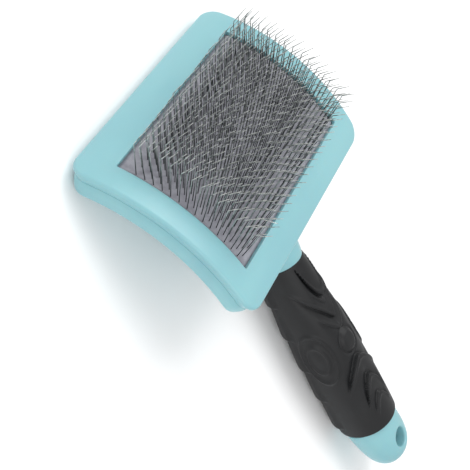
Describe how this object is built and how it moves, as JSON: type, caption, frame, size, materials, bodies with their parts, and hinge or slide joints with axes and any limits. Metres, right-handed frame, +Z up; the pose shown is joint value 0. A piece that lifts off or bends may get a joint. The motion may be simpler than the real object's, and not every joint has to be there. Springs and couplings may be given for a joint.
{
  "type": "slicker brush",
  "caption": "Pet slicker brush: a wide curved head with rows of kneed wire pins set in a cushioned pad, on a straight handle with a soft grip and a hang hole.",
  "frame": {"origin": "middle of the brush's length and width, on the surface that it lies on, pins up", "axes": "+X down the handle to its tip, +Y across the head's width, +Z up, the side that the pins stand on"},
  "size_m": [0.2314, 0.1232, 0.064],
  "materials": {
    "shell_plastic": "pale aqua moulded ABS, satin gloss",
    "grip_rubber": "black soft-touch over-moulded rubber, satin",
    "pad_rubber": "grey rubber pad face",
    "pad_canvas": "woven cotton backing under the rubber face",
    "pad_foam": "dark closed-cell foam cushion, hidden in the head",
    "pin_wire": "bright drawn steel wire"
  },
  "bodies": {
    "root": {"front_frame": "shell_plastic", "back_body": "shell_plastic", "grip_sleeve": "grip_rubber", "pad_face": "pad_rubber", "pad_canvas": "pad_canvas", "foam_cushion": "pad_foam", "staple_row_01": "pin_wire", "staple_row_02": "pin_wire", "staple_row_03": "pin_wire", "staple_row_04": "pin_wire", "staple_row_05": "pin_wire", "staple_row_06": "pin_wire", "staple_row_07": "pin_wire", "staple_row_08": "pin_wire", "staple_row_09": "pin_wire", "staple_row_10": "pin_wire", "staple_row_11": "pin_wire", "staple_row_12": "pin_wire", "staple_row_13": "pin_wire", "staple_row_14": "pin_wire", "staple_row_15": "pin_wire", "staple_row_16": "pin_wire", "staple_row_17": "pin_wire", "staple_row_18": "pin_wire", "staple_row_19": "pin_wire", "staple_row_20": "pin_wire", "staple_row_21": "pin_wire", "staple_row_22": "pin_wire", "staple_row_23": "pin_wire", "staple_row_24": "pin_wire", "staple_row_25": "pin_wire", "staple_row_26": "pin_wire", "staple_row_27": "pin_wire", "staple_row_28": "pin_wire", "staple_row_29": "pin_wire", "staple_row_30": "pin_wire", "staple_row_31": "pin_wire", "staple_row_32": "pin_wire", "staple_row_33": "pin_wire", "staple_row_34": "pin_wire", "staple_row_35": "pin_wire", "staple_row_36": "pin_wire", "staple_row_37": "pin_wire", "staple_row_38": "pin_wire", "staple_row_39": "pin_wire", "staple_row_40": "pin_wire", "staple_row_41": "pin_wire", "staple_row_42": "pin_wire"}
  },
  "joints": []
}
